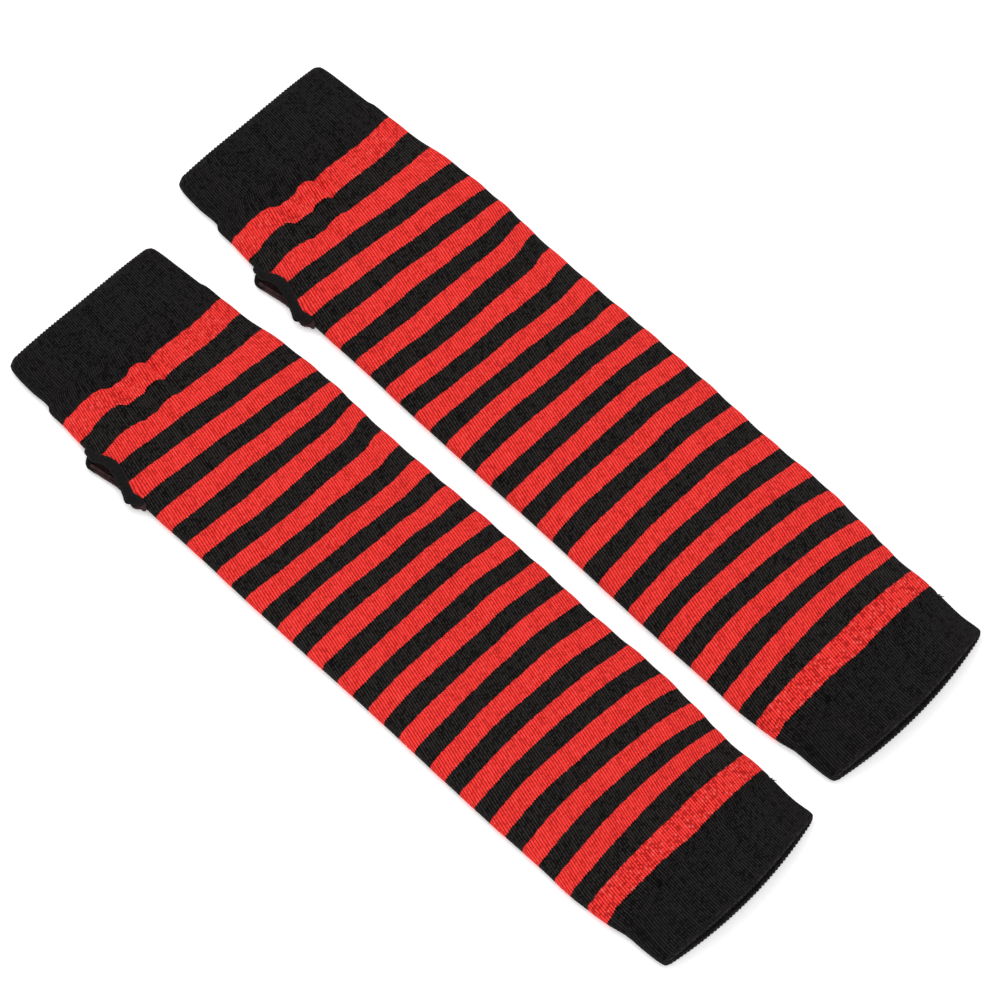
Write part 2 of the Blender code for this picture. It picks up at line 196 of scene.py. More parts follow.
# Overcast edging: a core, and stitches of yarn wound round it, each a little loose and out of line. A
# noise's numbers are its scale from stitch to stitch, its scale along the stitch, and its start
EDGING_STEPS = 192
EDGING_MARGIN = (0.0003, 0.0017)
EDGING_HALF_WIDTH = (0.0009, 0.0019)
EDGING_THICKNESS = (0.0008, 0.0013)
EDGING_LUMPS = 6
EDGING_LUMP_SHARE = 0.09
EDGING_GAP = 0.0001
EDGING_SIDES = 12
EDGING_CORE_WIDTH = 0.88
EDGING_CORE_THICKNESS = 0.45
STITCHES = 132
STITCH_RADIUS = 0.00030
STITCH_SIDES = 5
STITCH_POINTS = 16
STITCH_SLANT = 2.2
STITCH_THICKNESS = 0.52
STITCH_WANDER = 0.7
WANDER_NOISE = (2.3, 0.4, 0.1)
STITCH_LOOSENESS = 0.15
LOOSENESS_NOISE = (1.7, 0.3, 0.5)

# Where the yarn is brown, worn yarn with painted shade of the lower lip's red inside: the shares of the way
# round the thumb hole, and the first course on the lip
BROWN_STRETCH = (0.44, 0.86)
BROWN_FROM_COURSE = 1.95

# Thread ends at the arm seam: course, length in metres and turn from +Y towards +X. The rest are shares:
# where they leave the far fold, how they rise and curl, and how they taper
THREAD_ENDS = ((35.92, 0.0014, 0.8), (35.78, 0.0008, 0.3))
THREAD_RADIUS = 0.00022
THREAD_STEPS = 6
THREAD_ROOT = 0.6
THREAD_RISE = 0.25
THREAD_CURL = 0.3
THREAD_TAPER = 0.5

# Colours: the darkest and the lightest stitches of each cloth, the pale specks, and the lips
# The dark and light ends of each cloth also span the painted shade in its stitches' grooves
DARK_RED = (0.28, 0.0018, 0.0015)
LIGHT_RED = (1.0, 0.0510, 0.0435)
PALE_RED = (1.0, 0.55, 0.50)
# Inside faces and cut rim of the tube: its red painted much darker, painted shade
DARK_SHADED_INSIDE = (0.018, 0.0050, 0.0045)
LIGHT_SHADED_INSIDE = (0.060, 0.0190, 0.0180)
DARK_BLACK = (0.0003, 0.0001, 0.0001)
STRIPE_BLACK = (0.0250, 0.0215, 0.0208)
BAND_BLACK = (0.0190, 0.0172, 0.0171)
CUFF_DARK = (0.0002, 0.0001, 0.0001)
CUFF_LIGHT = (0.0186, 0.0172, 0.0171)
# Turned band at each mouth: plain and lighter than the ribbed cuff, a painted highlight
TURNED_DARK = (0.0070, 0.0062, 0.0062)
TURNED_LIGHT = (0.0190, 0.0172, 0.0172)
LIP_DARK = (0.001, 0.001, 0.001)
LIP_LEAST_SHADE = 0.5
UPPER_LIP = (0.010, 0.0085, 0.0085)
# Lower lip's brown: worn yarn with painted shade of the lip's red inside
LOWER_LIP = (0.056, 0.0300, 0.0320)
LOWER_LIP_INSIDE = (0.060, 0.0310, 0.0330)
BLACK_YARN = ((0.001, 0.001, 0.001), (0.019, 0.017, 0.017))
BROWN_SHADED_YARN = ((0.016, 0.008, 0.009), (0.070, 0.037, 0.040))
# The cuffs' round rim at each mouth is painted this much lighter: a painted highlight
MOUTH_RIM_HIGHLIGHT = 1.5

# Finish of each cloth, with the height of its bumps in metres, and the fibres of the yarn
Finish = namedtuple("Finish", "roughness sheen tint bump")
STRIPED_FINISH = Finish(0.88, 0.012, (1.0, 0.90, 0.88), 0.0004)
CUFF_FINISH = Finish(0.85, 0.012, (1.0, 0.95, 0.95), 0.0004)
YARN_FINISH = Finish(0.88, 0.040, (1.0, 1.0, 1.0), 0.0002)
SHEEN_ROUGHNESS = 0.5
CLOTH_SPECULAR = 0.05
FIBRE_SCALE = 2500.0
FIBRE_DETAIL = 4.0

# Relief of a stitch: depth of the groove between wales and between courses, the wale's roundness, and how
# far a loop's arms lean, in courses
Relief = namedtuple("Relief", "wale course")
TUBE_RELIEF = Relief(0.75, 0.40)
CUFF_RELIEF = Relief(0.85, 0.35)
WALE_ROUNDNESS = 2.2
LOOP_LEAN = 0.5

# Brightness of a stitch: its middle, how strongly the relief shows as painted shade in the grooves, and the
# least and the spread of the factors that chance gives the stitch, its stretch of the wale and its whole
# wale. Then the wales' seed, how far the streaks of neighbouring wales are staggered, and the contrast of
# the black yarn
RELIEF_MIDDLE = 0.6
SHADE_MIDDLE = 0.56
TUBE_SHADE_DEPTH = 2.0
LOOSE_SHADE_DEPTH = 0.7
CUFF_SHADE_DEPTH = 1.9
Chance = namedtuple("Chance", "least spread")
STITCH_CHANCE = Chance(0.58, 0.84)
STREAK_CHANCE = Chance(0.90, 0.20)
WALE_CHANCE = Chance(0.85, 0.30)
WALE_SEED = 3.5
STREAK_STAGGER = 0.37
BLACK_CONTRAST = 2.8
TURNED_CONTRAST = 2.0

# Raggedness of the stripes' edges in courses, the looser first and last stripe with their reach and
# overlap in stripes, their holes darkened with painted shade, and the pale specks on the red yarn, painted
# highlights on single stitches
RAGGED_COURSES = 0.5
RAGGED_SEED = 0.5
COURSE_TOLERANCE = 0.001
LOOSE_REACH = 1.05
LOOSE_OVERLAP = 0.03
FIRST_STRIPE_LOOSENESS = 0.5
HOLE_SHARE = 0.25
HOLE_DARKNESS = 0.45
SPECK_FROM = 0.93
SPECK_PALENESS = 0.02
LOOSE_SPECK_PALENESS = 0.06

# Camera: the photograph's angle above the table and turn from +Y, its scale, and where it aims
CAMERA_ELEVATION = math.radians(62.0)
CAMERA_AZIMUTH = math.radians(44.86)
CAMERA_LENS = 1400.0
CAMERA_SENSOR = 36.0
IMAGE_PIXELS = 1000
PIXELS_PER_METRE = 2685.0
CAMERA_AIM = Vector((-0.00384, 0.00592, 0.0))
CAMERA_CLIP_START = 0.1

# Studio: each light's place, side in metres and power in watts, then the table, whose glow is painted
# light that fades the shadows round the pair, and the surroundings
Light = namedtuple("Light", "name place size energy")
LIGHTS = (
    Light("key_light", (-1.1, 0.2, 1.6), 1.0, 9.0),
    Light("fill_light", (0.9, -0.7, 1.4), 1.4, 3.0),
)
TABLE_REACH = 30.0
TABLE_TOP = -0.0002
TABLE_DARK = (0.96, 0.96, 0.96)
TABLE_LIGHT = (0.98, 0.98, 0.98)
TABLE_GRAIN_SCALE = 3.0
TABLE_GRAIN_DETAIL = 2.0
TABLE_PAINTED_GLOW = 0.22
TABLE_ROUGHNESS = 0.9
TABLE_SPECULAR = 0.1
SURROUNDINGS_BRIGHTNESS = 1.0
WHITE = (1.0, 1.0, 1.0)


def table_at(rows, v):
    """Read a table at course v by a cubic through its rows, column by column."""
    v = min(max(v, rows[0].v), rows[-1].v)
    index = max(i for i in range(len(rows) - 1) if rows[i].v <= v)
    start, end = rows[index], rows[index + 1]
    before = rows[max(index - 1, 0)]
    after = rows[min(index + 2, len(rows) - 1)]
    span = end.v - start.v
    u = (v - start.v) / span
    values = []
    for p0, p1, p2, p3 in zip(before, start, end, after):
        slope_1 = span * (p2 - p0) / (end.v - before.v)
        slope_2 = span * (p3 - p1) / (after.v - start.v)
        values.append((1 + 2 * u) * (1 - u) ** 2 * p1 + u * (1 - u) ** 2 * slope_1
                      + u * u * (3 - 2 * u) * p2 + u * u * (u - 1) * slope_2)
    return type(start)(*values)


def lip_at(v):
    """Lips of the thumb hole at course v, all zero where the fold is whole."""
    if v <= SLIT_START or v >= SLIT_END:
        return Lip(v, 0.0, 0.0, 0.0, 0.0, 0.0)
    return table_at(LIPS, v)


def ring_lengths(section):
    """Lengths of the five stretches round a section, and the slope where the top meets the folds."""
    half = (section.far - section.near) / 2 - FOLD_RADIUS
    slope = math.atan(3 * (section.crown - 2 * FOLD_RADIUS) / half)
    top_half = half + FOLD_RADIUS * math.sin(slope)
    quarter = FOLD_RADIUS * math.pi / 2
    lengths = (quarter, 2 * half, FOLD_RADIUS * (math.pi - slope), 2 * top_half,
               quarter - FOLD_RADIUS * slope)
    return lengths, slope, half, top_half


def ring_point(section, shape, lip, a):
    """The y and z of the outer face at distance a round the section, and its outward direction."""
    (lower, under, far_fold, top, upper), slope, half, top_half = shape
    middle = (section.near + section.far) / 2
    radius = FOLD_RADIUS
    if a <= lower:
        angle = a / radius
        reach = radius + lip.spread
        return (middle - half - reach * math.cos(angle), radius * (1 - math.sin(angle)),
                -math.cos(angle), -math.sin(angle))
    a -= lower
    if a <= under:
        return middle - half + a, 0.0, 0.0, -1.0
    a -= under
    if a <= far_fold:
        angle = a / radius
        return (middle + half + radius * math.sin(angle), radius * (1 - math.cos(angle)),
                math.sin(angle), -math.cos(angle))
    a -= far_fold
    if a <= top:
        q = 1 - 2 * a / top
        edge = radius * (1 + math.cos(slope))
        fall = 3 * (section.crown - edge) / top_half * q * abs(q)
        return (middle + q * top_half, edge + (section.crown - edge) * (1 - abs(q) ** 3),
                fall / math.hypot(fall, 1), 1 / math.hypot(fall, 1))
    a -= top
    angle = slope + a / radius
    return (middle - half - radius * math.sin(angle), radius * (1 + math.cos(angle)),
            -math.sin(angle), math.cos(angle))


def crease_window(crease, v):
    """Share of a crease at course v, one at its peak and nothing at both ends."""
    reach = crease.peak - crease.start if v < crease.peak else crease.end - crease.peak
    away = min(abs(v - crease.peak) / reach, 1.0)
    return 0.5 + 0.5 * math.cos(math.pi * away)


def gather_height(v, turn):
    """Height of the gathers at course v and share turn of the way round."""
    height = 0.0
    for gather in GATHERS:
        inward = (v - gather.seam) * (1 if gather.seam == HAND_SEAM else -1)
        reach = gather.into_tube if inward >= 0 else gather.into_cuff
        share = math.exp(-(inward / reach) ** 2)
        if share < LEAST_GATHER_SHARE:
            continue
        waves = sum(math.sin(2 * math.pi * n * (turn + GATHER_PHASE) + GATHER_TWIST * v)
                    for n in gather.waves)
        height += gather.height * share * waves / 2
    return height


def surface_row(v, stations):
    """Points of the cloth's outer face along course v at the given distances round the tube."""
    section = table_at(SECTIONS, v)
    shape = ring_lengths(section)
    total = sum(shape[0])
    lip = lip_at(v)
    windows = [(crease, crease_window(crease, v)) for crease in CREASES]
    windows = [(crease, share) for crease, share in windows if share > 0]
    striped = STRIPE_SWELL * math.sin(math.pi * v) if 0 < v < STRIPES else 0.0
    seam_dip = SEAM_DIP * math.exp(-((v - ARM_SEAM) / SEAM_DIP_REACH) ** 2)
    from_mouth = min(v - HAND_MOUTH, ARM_MOUTH - v)
    scalloped = SCALLOP_DEPTH * math.exp(-(from_mouth / SCALLOP_REACH) ** 2)
    points = []
    for a in stations:
        y, z, out_y, out_z = ring_point(section, shape, lip, a)
        x = section.x + section.skew * y + section.bow * (y / BOW_REACH) ** 2
        x += scalloped * math.sin(2 * math.pi * SCALLOPS * a / total)
        top_share = max(0.0, z - FOLD_RADIUS) / (section.crown - FOLD_RADIUS)
        rise, lean = 0.0, 0.0
        for crease, share in windows:
            away = (y - crease.y) / crease.width
            x += share * crease.shift / (1 + math.exp(min(away * CREASE_STEEPNESS, CREASE_FAR_SIDE)))
            rise += share * crease.rise * math.exp(-away * away) * top_share ** 2
        if a > total / 2:
            from_lip = total - lip.upper - a
            near_lip = max(0.0, 1 - from_lip / LIP_LIFT_REACH) ** 2
            rise += lip.lift * near_lip
            lean = lip.flare * near_lip
        free = min(1.0, max(0.0, z - FREE_FROM * FOLD_RADIUS) / FOLD_RADIUS)
        swell = noise.noise(Vector((x, y, z)) * SLOW_SWELL_SCALE + SLOW_SWELL_START)
        proud = free * (striped + SLOW_SWELL * swell + gather_height(v, a / total) - seam_dip)
        points.append(Vector((x, y - lean + out_y * proud, z + rise + out_z * proud)))
    return points


def surface(v, a):
    """One point of the cloth's outer face."""
    return surface_row(v, (a,))[0]


def surface_normal(v, a):
    """Outward direction of the cloth at course v and distance a."""
    course_step = NORMAL_STEP / STRIPE_HEIGHT
    along = surface(v + course_step, a) - surface(v - course_step, a)
    around = surface(v, a + NORMAL_STEP) - surface(v, a - NORMAL_STEP)
    return around.cross(along).normalized()


def ring_total(v):
    """Distance all round the tube at course v."""
    return sum(ring_lengths(table_at(SECTIONS, v))[0])


def ring_stations(v, ring_steps):
    """Distances of the mesh's columns round the tube at course v."""
    lengths = ring_lengths(table_at(SECTIONS, v))[0]
    lip = lip_at(v)
    total = sum(lengths)
    stations, start = [0.0], 0.0
    for length, steps in zip(lengths, ring_steps):
        stations += [start + length * (i + 1) / steps for i in range(steps)]
        start += length
    first, last, reach = lip.lower, total - lip.upper, LIP_FIT_REACH
    fitted = []
    for a in stations:
        if a < reach:
            a = first + (reach - first) * a / reach
        elif a > total - reach:
            a = total - reach + (last - total + reach) * (a - total + reach) / reach
        fitted.append(a)
    return fitted


def knit_place(v, a, total, point, drift):
    """Where a point lies in the knit: its wale, and its course in stripes, which wavers a little."""
    waver = STRIPE_WAVER * noise.noise(point * STRIPE_WAVER_SCALE)
    return WALES * a / total - drift * v, v + waver


def tube_mesh(name, courses, materials):
    """Fine shell through the courses, whole along the thumb-side fold except at the thumb hole."""
    points, rows, places = [], [], []
    for v in courses:
        stations = ring_stations(v, RING_STEPS)
        total = ring_total(v)
        whole = not SLIT_START < v < SLIT_END
        row = surface_row(v, stations[:-1] if whole else stations)
        first = len(points)
        points += row
        rows.append([first + i for i in range(len(row))] + ([first] if whole else []))
        closed = row + row[:1] if whole else row
        places.append([knit_place(v, a, total, point, WALE_DRIFT) for a, point in zip(stations, closed)])
    faces, corners = [], []
    for k in range(len(rows) - 1):
        row, following = rows[k], rows[k + 1]
        for i in range(len(row) - 1):
            faces.append((row[i], row[i + 1], following[i + 1], following[i]))
            corners += [places[k][i], places[k][i + 1], places[k + 1][i + 1], places[k + 1][i]]
    return walled(knit_mesh(name, points, faces, corners, materials))


def plain_mesh(name, points, faces, materials):
    """Mesh of points and faces with its materials."""
    mesh = bpy.data.meshes.new(name)
    mesh.from_pydata(points, [], faces)
    for material in materials:
        mesh.materials.append(material)
    return mesh


def knit_mesh(name, points, faces, corners, materials):
    """Mesh whose map "knit" holds each corner's place in the knit."""
    mesh = plain_mesh(name, points, faces, materials)
    knit = mesh.uv_layers.new(name="knit")
    for loop, place in zip(knit.data, corners):
        loop.uv = place
    return mesh


def smooth_but_for_corners(mesh):
    """Shade a mesh smooth, and leave its sharp corners."""
    mesh.shade_smooth()
    mesh.set_sharp_from_angle(angle=SHARP_ANGLE)


def walled(sheet):
    """Closed shell of the tube, with its wall inward from the sheet."""
    form = bpy.data.objects.new("form", sheet)
    bpy.context.scene.collection.objects.link(form)
    solidify = form.modifiers.new("Wall", "SOLIDIFY")
    solidify.thickness = TUBE_WALL
    solidify.offset = -1.0
    solidify.use_even_offset = True
    # Inner faces and the cut rim take the inside material, which is painted shade
    solidify.material_offset = 1
    solidify.material_offset_rim = 2
    evaluated = form.evaluated_get(bpy.context.evaluated_depsgraph_get())
    mesh = bpy.data.meshes.new_from_object(evaluated)
    bpy.data.objects.remove(form)
    name = sheet.name
    bpy.data.meshes.remove(sheet)
    mesh.name = name
    smooth_but_for_corners(mesh)
    return mesh


def cuff_mesh(name, mouth, seam, materials):
    """Closed wall of a cuff: out along its outer face, over a round edge at the mouth and back inside."""
    half_wall = CUFF_WALL / 2
    outer, inner = [], []
    for v in cuff_courses(mouth, seam):
        section, lip = table_at(SECTIONS, v), lip_at(v)
        shape = ring_lengths(section)
        total = sum(shape[0])
        stations = ring_stations(v, CUFF_RING_STEPS)
        row = surface_row(v, stations[:-1])
        depth = abs(v - mouth) * STRIPE_HEIGHT
        inset = half_wall - math.sqrt(half_wall ** 2 - max(0.0, half_wall - depth) ** 2)
        outer_row, inner_row = [], []
        for a, point in zip(stations, row):
            y, z, out_y, out_z = ring_point(section, shape, lip, a)
            outward = Vector((0.0, out_y, out_z))
            outer_row.append(point - outward * inset)
            inner_row.append(Vector((point.x, y, z)) - outward * (CUFF_WALL - inset))
        places = [knit_place(v, a, total, point, CUFF_DRIFT) for a, point in zip(stations, row + row[:1])]
        outer.append((outer_row, places, depth))
        if depth > 0:
            inner.append((inner_row, places, depth))
    loop = outer + inner[::-1]
    points, faces, corners, rims = [], [], [], []
    add_tube(points, faces, [row for row, places, depth in loop])
    for (row, here, depth), (next_row, there, next_depth) in zip(loop, loop[1:] + loop[:1]):
        for i in range(len(row)):
            corners += [here[i], here[i + 1], there[i + 1], there[i]]
        rims += [max(depth, next_depth) < half_wall / 2] * len(row)
    mesh = knit_mesh(name, points, faces, corners, materials)
    # Rim faces at the mouth take the second material, a painted highlight
    for polygon, rim in zip(mesh.polygons, rims):
        polygon.material_index = int(rim)
    smooth_but_for_corners(mesh)
    return mesh


def even_courses(start, end, steps):
    """Courses spread evenly from start to end."""
    return [start + (end - start) * i / steps for i in range(steps + 1)]


def between(pair, share):
    """Value a share of the way from the first of a pair to the second."""
    return pair[0] + (pair[1] - pair[0]) * share


# A place round the thumb hole, with the edging's directions, half width and thickness there
EdgingPlace = namedtuple("EdgingPlace", "centre tangent outward across half_width thickness")


def edging_places():
    """Places of the edging, evenly round the thumb hole from its hand end over the upper lip."""
    half = (SLIT_END - SLIT_START) / 2 * STRIPE_HEIGHT
    on_cloth = []
    for i in range(EDGING_STEPS):
        angle = 2 * math.pi * i / EDGING_STEPS
        share = 0.5 + 0.5 * math.sin(angle)
        margin = between(EDGING_MARGIN, share)
        along = -(half + margin) * math.cos(angle)
        past_end = min(max(0.0, abs(along) - half) / margin, 1.0)
        beside = margin * math.sqrt(1 - past_end ** 2)
        v = (SLIT_START + SLIT_END) / 2 + along / STRIPE_HEIGHT
        lip = lip_at(v)
        a = ring_total(v) - lip.upper - beside if math.sin(angle) >= 0 else lip.lower + beside
        on_cloth.append((v, a, share))
    feet = [surface(v, a) for v, a, share in on_cloth]
    places = []
    for i, (v, a, share) in enumerate(on_cloth):
        tangent = (feet[(i + 1) % EDGING_STEPS] - feet[i - 1]).normalized()
        outward = surface_normal(v, a)
        outward = (outward - tangent * outward.dot(tangent)).normalized()
        lump = 1 + EDGING_LUMP_SHARE * math.sin(2 * math.pi * EDGING_LUMPS * i / EDGING_STEPS) * share
        thickness = between(EDGING_THICKNESS, share) * lump
        half_width = between(EDGING_HALF_WIDTH, share ** 2) * lump
        centre = feet[i] + outward * (EDGING_GAP + thickness / 2)
        places.append(EdgingPlace(centre, tangent, outward, tangent.cross(outward), half_width, thickness))
    return places


def oval(centre, first, second, sides):
    """Points of an oval round a centre, from its two half axes."""
    turns = [2 * math.pi * k / sides for k in range(sides)]
    return [centre + first * math.cos(turn) + second * math.sin(turn) for turn in turns]


def add_tube(points, faces, rings, closed=True):
    """Join rings of points into a tube that closes on itself, or else is capped at both ends."""
    first, sides, count = len(points), len(rings[0]), len(rings)
    for ring in rings:
        points += ring
    for i in range(count if closed else count - 1):
        here, there = first + i * sides, first + (i + 1) % count * sides
        for k in range(sides):
            following = (k + 1) % sides
            faces.append((here + k, here + following, there + following, there + k))
    if not closed:
        faces.append(tuple(reversed(range(first, first + sides))))
        faces.append(tuple(range(len(points) - sides, len(points))))


def stitch_noise(number, k, scales):
    """Smooth chance at point k of a stitch."""
    from_stitch, along_stitch, start = scales
    return noise.noise(Vector((number * from_stitch, k * along_stitch, start)))


def stitch_rings(places, number):
    """Rings of one slanted stitch of yarn that winds round the edging."""
    root = number * EDGING_STEPS / STITCHES
    centres = []
    for k in range(STITCH_POINTS):
        angle = 2 * math.pi * k / STITCH_POINTS
        slid = root + STITCH_SLANT * math.sin(angle) + STITCH_WANDER * stitch_noise(number, k, WANDER_NOISE)
        step, part = int(slid // 1) % EDGING_STEPS, slid % 1.0
        loose = 1.0 + STITCH_LOOSENESS * stitch_noise(number, k, LOOSENESS_NOISE)
        here, following = places[step], places[(step + 1) % EDGING_STEPS]
        sideways = here.across * (here.half_width * loose * math.cos(angle))
        upward = here.outward * (here.thickness * STITCH_THICKNESS * loose * math.sin(angle))
        centres.append(here.centre.lerp(following.centre, part) - sideways + upward)
    rings = []
    for k, centre in enumerate(centres):
        along = (centres[(k + 1) % STITCH_POINTS] - centres[k - 1]).normalized()
        side = along.cross(places[int(root)].tangent).normalized()
        lift = along.cross(side).normalized()
        rings.append(oval(centre, side * STITCH_RADIUS, lift * STITCH_RADIUS, STITCH_SIDES))
    return rings


def is_brown(step):
    """Whether the edging's yarn is brown at a step round the thumb hole."""
    return BROWN_STRETCH[0] < step / EDGING_STEPS < BROWN_STRETCH[1]


def edging_mesh(name, black, brown):
    """Rolled edge of the thumb hole, with slanted stitches wound round it, brown on its lower lip: worn yarn
    with painted shade.
    """
    places = edging_places()
    points, faces, shades = [], [], []
    core = [oval(place.centre, place.across * (-place.half_width * EDGING_CORE_WIDTH),
                 place.outward * (place.thickness * EDGING_CORE_THICKNESS), EDGING_SIDES)
            for place in places]
    add_tube(points, faces, core)
    for step in range(EDGING_STEPS):
        shades += [is_brown(step)] * EDGING_SIDES
    for number in range(STITCHES):
        add_tube(points, faces, stitch_rings(places, number))
        shades += [is_brown(number * EDGING_STEPS / STITCHES)] * (STITCH_POINTS * STITCH_SIDES)
    mesh = plain_mesh(name, points, faces, (black, brown))
    for polygon, shade in zip(mesh.polygons, shades):
        polygon.material_index = int(shade)
    mesh.shade_smooth()
    return mesh


def thread_mesh(name, material):
    """Short thread ends that stand out from the arm seam beside the far fold."""
    points, faces = [], []
    for v, reach, heading in THREAD_ENDS:
        lower, under, far_fold, top, upper = ring_lengths(table_at(SECTIONS, v))[0]
        root = surface(v, lower + under + far_fold * THREAD_ROOT)
        out = Vector((math.sin(heading), math.cos(heading), THREAD_RISE)).normalized()
        across = out.cross(Vector((0.0, 0.0, 1.0))).normalized()
        upward = across.cross(out)
        rings = []
        for k in range(THREAD_STEPS + 1):
            share = k / THREAD_STEPS
            centre = root + out * (reach * share) + across * (THREAD_CURL * reach * share * share)
            radius = THREAD_RADIUS * (1.0 - THREAD_TAPER * share)
            rings.append(oval(centre, across * radius, upward * radius, STITCH_SIDES))
        add_tube(points, faces, rings, closed=False)
    mesh = plain_mesh(name, points, faces, (material,))
    mesh.shade_smooth()
    return mesh


def solid(colour, brightness=1.0):
    """Colour with full alpha, made lighter or darker."""
    return (*(min(channel * brightness, 1.0) for channel in colour), 1.0)


class Graph:
    """Short way to build a material's nodes."""

    def __init__(self, name):
        self.material = bpy.data.materials.new(name)
        self.material.use_nodes = True
        self.tree = self.material.node_tree
        self.shader = self.tree.nodes["Principled BSDF"]

    def node(self, kind, **settings):
        """Add a node with its settings."""
        node = self.tree.nodes.new(kind)
        for key, value in settings.items():
            setattr(node, key, value)
        return node

    def feed(self, socket, value):
        """Link an output to a socket, or set the socket to a value."""
        if isinstance(value, bpy.types.NodeSocket):
            self.tree.links.new(value, socket)
        else:
            socket.default_value = value

    def math(self, operation, *values, clamp=False):
        """Output of one step of arithmetic."""
        node = self.node("ShaderNodeMath", operation=operation, use_clamp=clamp)
        for socket, value in zip(node.inputs, values):
            self.feed(socket, value)
        return node.outputs[0]

    def mix(self, share, first, second):
        """Colour a share of the way from the first to the second."""
        node = self.node("ShaderNodeMix", data_type="RGBA")
        colour_sockets = {socket.name: socket for socket in node.inputs if socket.type == "RGBA"}
        self.feed(node.inputs[0], share)
        self.feed(colour_sockets["A"], first)
        self.feed(colour_sockets["B"], second)
        return next(socket for socket in node.outputs if socket.type == "RGBA")

    def noise(self, vector, scale, detail):
        """Smooth noise between 0 and 1."""
        node = self.node("ShaderNodeTexNoise")
        self.feed(node.inputs["Vector"], vector)
        node.inputs["Scale"].default_value = scale
        node.inputs["Detail"].default_value = detail
        return node.outputs["Fac"]

    def knit_uv(self):
        """Wale and course of each point, from the map "knit"."""
        uv = self.node("ShaderNodeUVMap", uv_map="knit")
        split = self.node("ShaderNodeSeparateXYZ")
        self.feed(split.inputs[0], uv.outputs[0])
        return split.outputs[0], split.outputs[1]

    def random_cell(self, first, second):
        """Chance value that is the same for the same two numbers."""
        join = self.node("ShaderNodeCombineXYZ")
        self.feed(join.inputs[0], first)
        self.feed(join.inputs[1], second)
        node = self.node("ShaderNodeTexWhiteNoise", noise_dimensions="2D")
        self.feed(node.inputs["Vector"], join.outputs[0])
        return node.outputs["Value"]

    def cloth_finish(self, finish, height):
        """Set the cloth's finish, and raise its bumps from a height."""
        inputs = self.shader.inputs
        inputs["Roughness"].default_value = finish.roughness
        inputs["Sheen Weight"].default_value = finish.sheen
        inputs["Sheen Roughness"].default_value = SHEEN_ROUGHNESS
        inputs["Sheen Tint"].default_value = solid(finish.tint)
        inputs["Specular IOR Level"].default_value = CLOTH_SPECULAR
        bump = self.node("ShaderNodeBump")
        bump.inputs["Strength"].default_value = 1.0
        bump.inputs["Distance"].default_value = finish.bump
        self.feed(bump.inputs["Height"], height)
        self.feed(inputs["Normal"], bump.outputs[0])


def stitch_height(graph, wale, course, relief):
    """Height of the knit's loops, and the course at each point, slanted as the loops' arms are."""
    across = graph.math("FRACT", wale)
    off_centre = graph.math("MULTIPLY", graph.math("ABSOLUTE", graph.math("SUBTRACT", across, 0.5)), 2.0)
    slanted = graph.math("MULTIPLY_ADD", off_centre, LOOP_LEAN, course)
    along = graph.math("ABSOLUTE", graph.math("SUBTRACT", graph.math("FRACT", slanted), 0.5))
    loop = graph.math("SUBTRACT", 1.0, graph.math("POWER", graph.math("MULTIPLY", along, 2.0), 2.0))
    rib = graph.math("SUBTRACT", 1.0, graph.math("POWER", off_centre, WALE_ROUNDNESS))
    ribbed = graph.math("MULTIPLY_ADD", rib, relief.wale, 1.0 - relief.wale)
    looped = graph.math("MULTIPLY_ADD", loop, relief.course, 1.0 - relief.course)
    return graph.math("MULTIPLY", ribbed, looped), slanted


def stitch_shade(graph, height, cell, wale_number, slanted, depth):
    """Brightness of each stitch: painted shade of its relief in the grooves, and its own chance, its part of
    the wale's and the wale's.
    """
    whole_wale = graph.random_cell(wale_number, WALE_SEED)
    stretch = graph.math("MULTIPLY_ADD", wale_number, STREAK_STAGGER,
                         graph.math("DIVIDE", slanted, STREAK_COURSES))
    streak = graph.random_cell(wale_number, graph.math("FLOOR", stretch))
    # Painted shade: darker where the loops' relief is low, in the grooves between wales and courses
    shade = graph.math("SUBTRACT", height, RELIEF_MIDDLE)
    shade = graph.math("MULTIPLY_ADD", shade, depth, SHADE_MIDDLE)
    for value, chance in ((cell, STITCH_CHANCE), (streak, STREAK_CHANCE), (whole_wale, WALE_CHANCE)):
        brightness = graph.math("MULTIPLY_ADD", value, chance.spread, chance.least)
        shade = graph.math("MULTIPLY", shade, brightness, clamp=chance is WALE_CHANCE)
    return shade


def overcast_cover(graph, wale, v):
    """One on the two lips of the thumb hole, where the overcast yarn hides the stripes."""
    round_tube = graph.math("MULTIPLY_ADD", v, WALE_DRIFT, wale)
    from_fold = graph.math("MINIMUM", round_tube, graph.math("SUBTRACT", float(WALES), round_tube))
    beside = graph.math("LESS_THAN", from_fold, OVERCAST_WALES)
    after = graph.math("GREATER_THAN", v, SLIT_START - OVERCAST_PAST)
    before = graph.math("LESS_THAN", v, SLIT_END + OVERCAST_PAST)
    return graph.math("MULTIPLY", beside, graph.math("MULTIPLY", after, before))


def overcast_colour(graph, wale, v, cell, upper, lower):
    """Colour of the overcast yarn on the cloth, browner on the lower lip past its hand end: worn yarn with
    painted shade.
    """
    round_tube = graph.math("MULTIPLY_ADD", v, WALE_DRIFT, wale)
    on_lower = graph.math("MULTIPLY", graph.math("LESS_THAN", round_tube, WALES / 2),
                          graph.math("GREATER_THAN", v, BROWN_FROM_COURSE))
    shade = graph.math("MULTIPLY_ADD", cell, 1.0 - LIP_LEAST_SHADE, LIP_LEAST_SHADE)
    return graph.mix(shade, solid(LIP_DARK), graph.mix(on_lower, solid(upper), solid(lower)))


